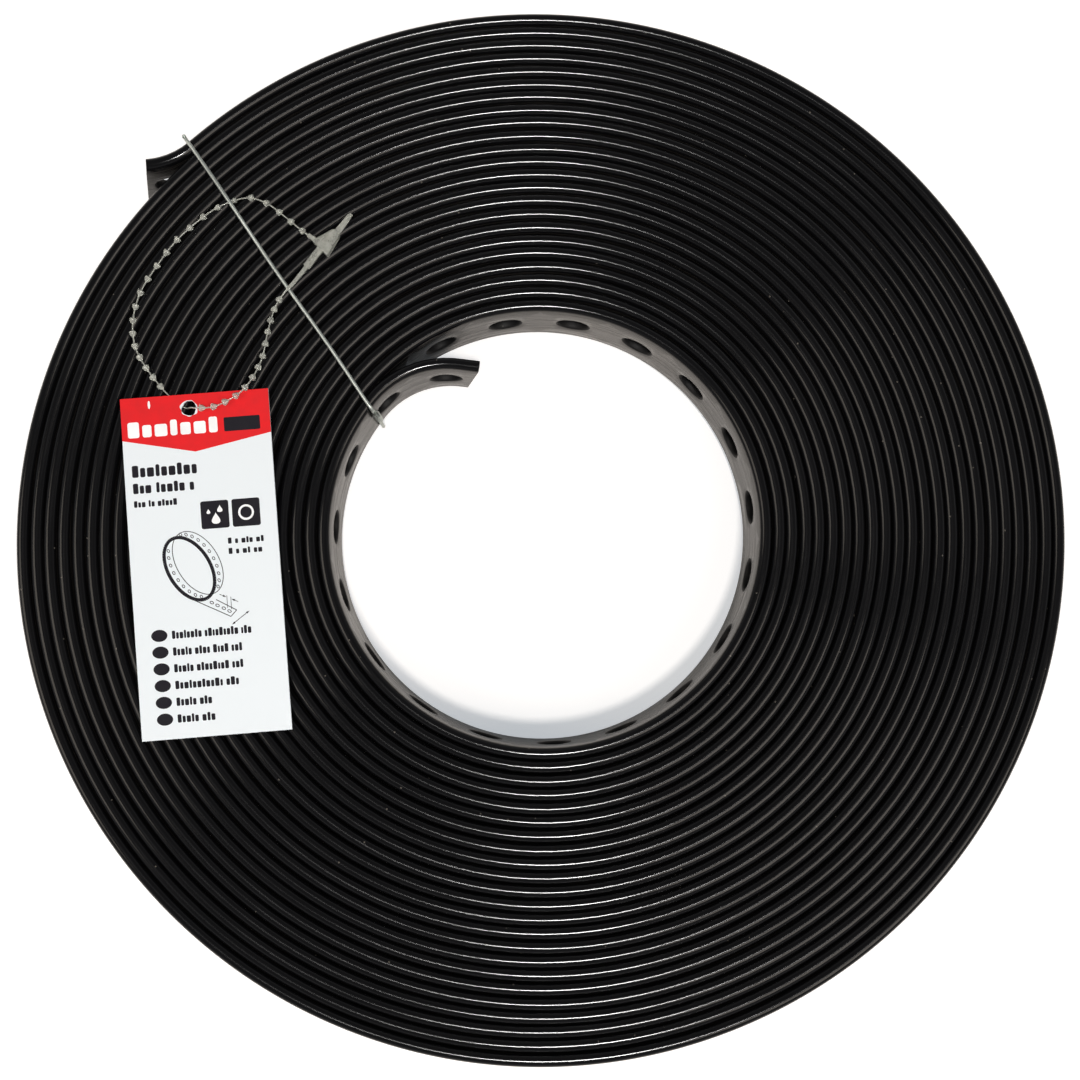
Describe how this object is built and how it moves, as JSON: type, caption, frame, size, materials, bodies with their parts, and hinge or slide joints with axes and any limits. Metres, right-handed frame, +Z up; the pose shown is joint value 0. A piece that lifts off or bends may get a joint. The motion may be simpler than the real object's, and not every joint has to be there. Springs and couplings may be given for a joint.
{
  "type": "perforated strap coil",
  "caption": "Coil of plastic-coated perforated steel strap lying flat, with sprung free ends, a wire tie round its section and a card hang tag on a beaded loop.",
  "frame": {"origin": "middle of the object's box on the floor that it lies on", "axes": "+Z up along the coil's axis, +Y away from the person who reads the tag, +X to their right"},
  "size_m": [0.1952, 0.1964, 0.0232],
  "materials": {
    "strap": "steel with a glossy black plastic coat",
    "wire": "dull galvanised wire",
    "tag_tie": "clear moulded nylon",
    "tag": "printed coated card"
  },
  "bodies": {
    "root": {"strap": "strap", "wire_tie": "wire", "tag_tie": "tag_tie", "tag": "tag"}
  },
  "joints": []
}
